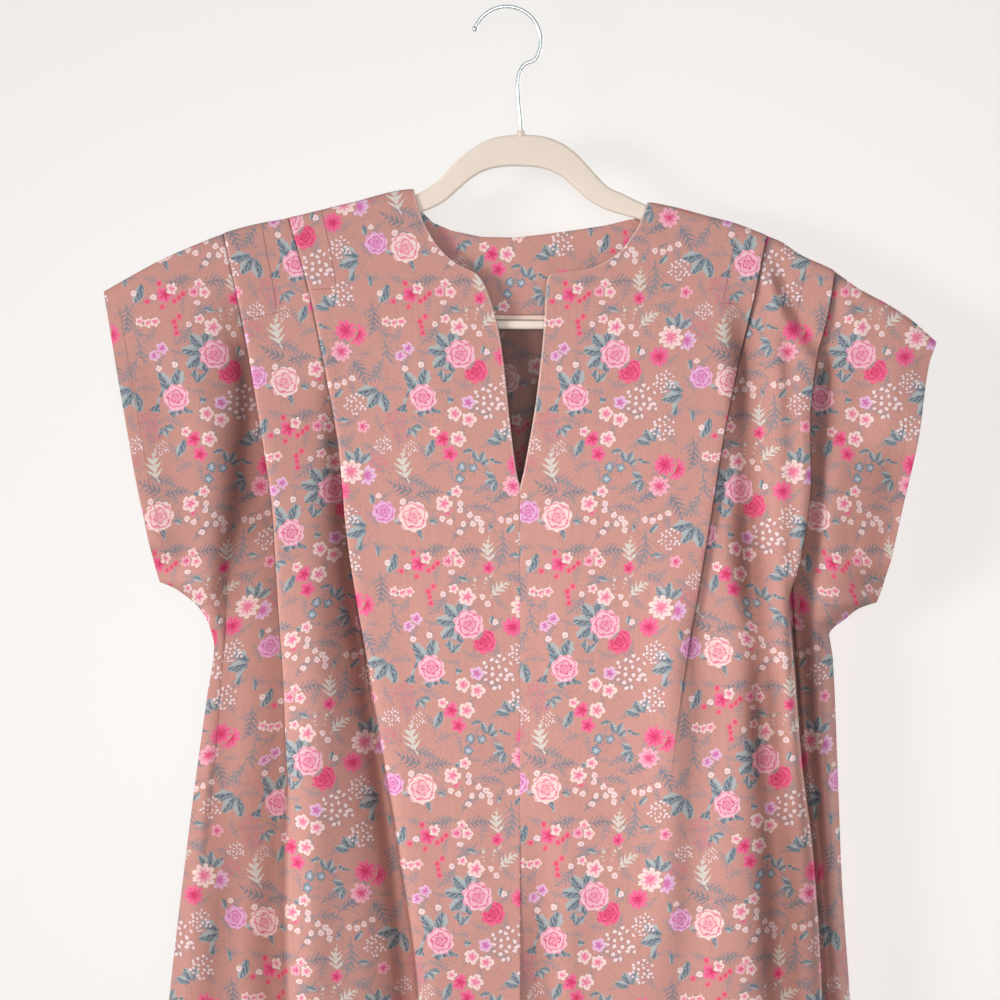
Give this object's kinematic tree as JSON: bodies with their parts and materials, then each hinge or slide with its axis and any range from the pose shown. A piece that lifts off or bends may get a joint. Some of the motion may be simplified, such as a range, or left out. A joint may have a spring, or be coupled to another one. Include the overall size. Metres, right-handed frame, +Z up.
{
  "type": "house dress on a hanger",
  "caption": "Loose printed cotton house dress with cap sleeves, a slit neck and shoulder pleats, hanging on a slim flocked hanger with a wire hook.",
  "frame": {"origin": "the point inside the top of the hanger's hook, where it bears on what carries it", "axes": "+Z up, the dress's front faces -Y, +X towards the wearer's left; the hanger lies in the XZ plane"},
  "size_m": [0.6137, 0.071, 1.2383],
  "materials": {
    "dress_cloth": "matt plain-weave cotton with a small flower print",
    "facing_cloth": "the same printed cotton, turned to the inside",
    "hanger_flock": "short cream flock",
    "hook_wire": "polished wire"
  },
  "bodies": {
    "root": {"front_right": "dress_cloth", "front_left": "dress_cloth", "back": "dress_cloth", "back_neck_facing": "facing_cloth", "hanger_body": "hanger_flock", "hanger_hook": "hook_wire"}
  },
  "joints": []
}
